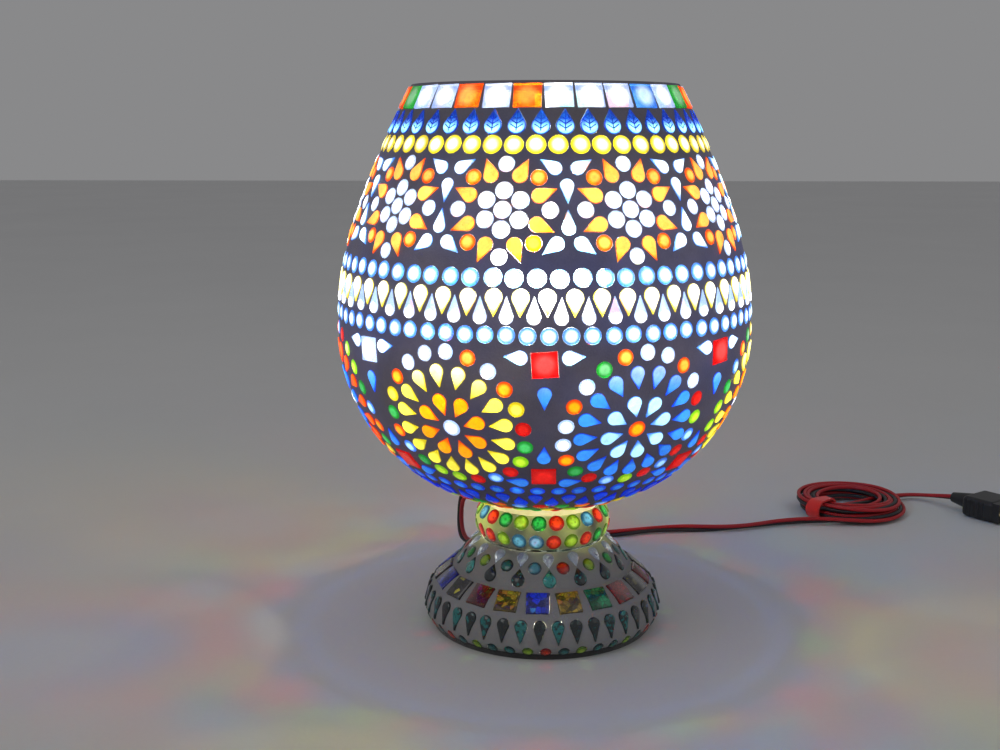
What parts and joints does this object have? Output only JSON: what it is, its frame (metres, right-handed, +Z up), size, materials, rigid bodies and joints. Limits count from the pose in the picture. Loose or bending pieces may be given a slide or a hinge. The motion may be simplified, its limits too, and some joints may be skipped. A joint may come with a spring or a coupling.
{
  "type": "table lamp",
  "caption": "Table lamp with an open goblet globe of glass mosaic in rosettes and medallions, a tiled glass foot, a screw bulb inside and a two-core flex with plug",
  "frame": {"origin": "centre of the foot's felt ring on the table, on the lamp's axis", "axes": "+Z up along the lamp's axis; -Y is the front, the side seen in the picture; +X is the viewer's right"},
  "size_m": [0.4388, 0.3461, 0.2806],
  "materials": {
    "bead_green": "tinted glass tile, polished",
    "bead_lime": "tinted glass tile, polished",
    "bead_red": "tinted glass tile, polished",
    "bead_sky": "tinted glass tile, polished",
    "bead_teal": "tinted glass tile, polished",
    "white_plastic": "moulded",
    "nickel": "nickel plate",
    "diffuser": "frosted",
    "brass": "satin",
    "red_tie": "twisted tape",
    "tile_amber": "tinted glass tile, polished, edges ground",
    "tile_azure": "tinted glass tile, polished, edges ground",
    "tile_clear": "tinted glass tile, polished, edges ground",
    "tile_green": "tinted glass tile, polished, edges ground",
    "tile_lime": "tinted glass tile, polished, edges ground",
    "tile_red": "tinted glass tile, polished, edges ground",
    "tile_sky": "tinted glass tile, polished, edges ground",
    "tile_yellow": "tinted glass tile, polished, edges ground",
    "black_felt": "felt",
    "flex_pvc": "soft PVC, one red and one black core",
    "black_rubber": "moulded, matt",
    "clear_glass": "clear blown glass",
    "dark_grout": "dark polished cement grout",
    "grey_grout": "matt grey cement grout",
    "black_bakelite": "moulded bakelite",
    "contact_brass": "bright",
    "white_ceramic": "unglazed",
    "wire_pvc": "soft PVC",
    "tile_leaf": "tinted glass tile, polished, edges ground",
    "mirror_blue": "foil-backed glass tile",
    "mirror_dark": "foil-backed glass tile",
    "mirror_gold": "foil-backed glass tile",
    "mirror_green": "foil-backed glass tile",
    "mirror_red": "foil-backed glass tile",
    "clear_seal": "translucent sealing ring",
    "black_plastic": "moulded, satin",
    "pin_brass": "bright",
    "tile_blue": "tinted glass tile, polished, edges ground",
    "tile_ember": "tinted glass tile, polished, edges ground",
    "tile_teal": "tinted glass tile, polished, edges ground"
  },
  "bodies": {
    "lamp": {"beads_green": "bead_green", "beads_lime": "bead_lime", "beads_red": "bead_red", "beads_sky": "bead_sky", "beads_teal": "bead_teal", "clamp_plates": "brass", "coil_tie": "red_tie", "dots_amber": "tile_amber", "dots_azure": "tile_azure", "dots_clear": "tile_clear", "dots_green": "tile_green", "dots_lime": "tile_lime", "dots_red": "tile_red", "dots_sky": "tile_sky", "dots_yellow": "tile_yellow", "felt_ring": "black_felt", "flex": "flex_pvc", "flex_bush": "black_rubber", "flex_coil": "flex_pvc", "flex_tail": "flex_pvc", "foot_glass": "clear_glass", "globe_glass": "clear_glass", "grout_belt": "dark_grout", "grout_crown": "dark_grout", "grout_foot": "grey_grout", "grout_knob": "grey_grout", "grout_medallions": "dark_grout", "grout_rosettes": "dark_grout", "grout_skirt": "dark_grout", "holder_body": "black_bakelite", "holder_contacts": "contact_brass", "holder_insert": "white_ceramic", "inner_wires": "wire_pvc", "leaves_blue": "tile_leaf", "locknuts": "brass", "mirrors_blue": "mirror_blue", "mirrors_dark": "mirror_dark", "mirrors_gold": "mirror_gold", "mirrors_green": "mirror_green", "mirrors_red": "mirror_red", "neck_gasket": "clear_seal", "plug_body": "black_plastic", "plug_pins": "pin_brass", "squares_amber": "tile_amber", "squares_clear": "tile_clear", "squares_green": "tile_green", "squares_red": "tile_red", "squares_sky": "tile_sky", "tears_amber": "tile_amber", "tears_azure": "tile_azure", "tears_blue": "tile_blue", "tears_clear": "tile_clear", "tears_ember": "tile_ember", "tears_sky": "tile_sky", "tears_teal": "tile_teal", "tears_yellow": "tile_yellow", "threaded_tube": "brass"},
    "bulb": {"bulb_cap": "nickel", "bulb_body": "white_plastic", "bulb_dome": "diffuser"}
  },
  "joints": [
    {"name": "bulb_lift", "type": "slide", "parent": "lamp", "child": "bulb", "axis": [0, 0, 1], "range_m": [0, 0.3]}
  ]
}
